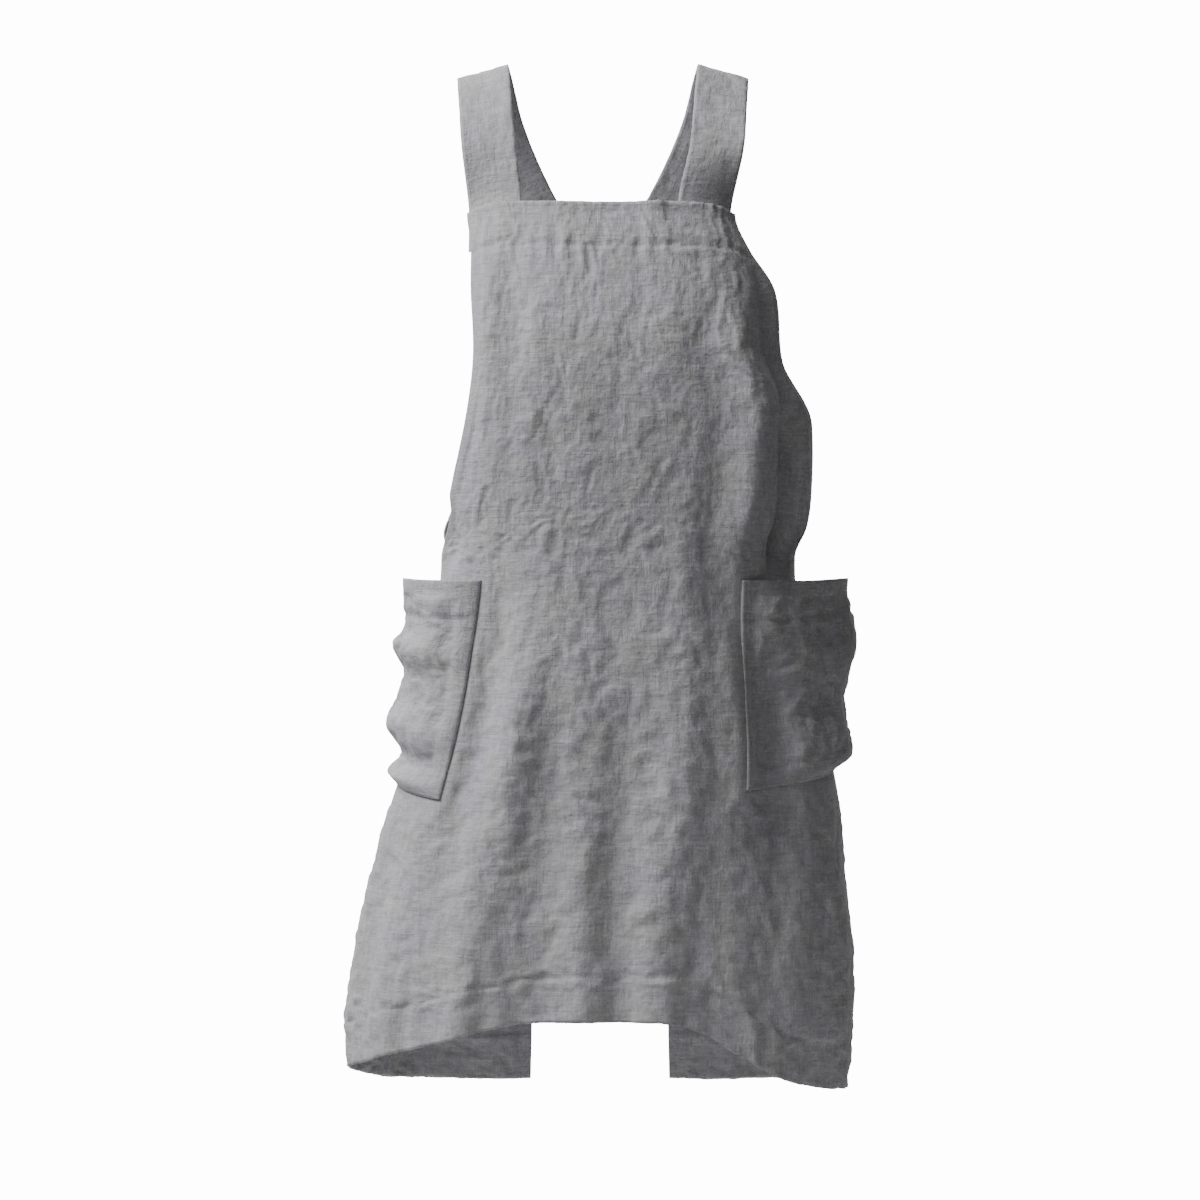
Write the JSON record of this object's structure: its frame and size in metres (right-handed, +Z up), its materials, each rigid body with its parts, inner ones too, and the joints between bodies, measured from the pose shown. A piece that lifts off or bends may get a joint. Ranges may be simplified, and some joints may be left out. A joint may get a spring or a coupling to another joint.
{
  "type": "cross back apron",
  "caption": "Linen pinafore apron with a square bib, wide straps that cross over an open back, and large patch pockets at the hips, in the shape it has when worn.",
  "frame": {"origin": "where the straps rest on the shoulders: the underside of the strap tops, midway between the two straps", "axes": "+Z up, front of the apron towards -Y, the wearer's left towards +X"},
  "size_m": [0.5286, 0.2821, 1.0731],
  "materials": {
    "linen": "matt washed linen, soft grey with a faint violet tone, plain weave with slubs and creases"
  },
  "bodies": {
    "root": {"front_panel": "linen", "back_panel_left": "linen", "back_panel_right": "linen", "shoulder_strap_left": "linen", "shoulder_strap_right": "linen", "pocket_left": "linen", "pocket_right": "linen"}
  },
  "joints": []
}
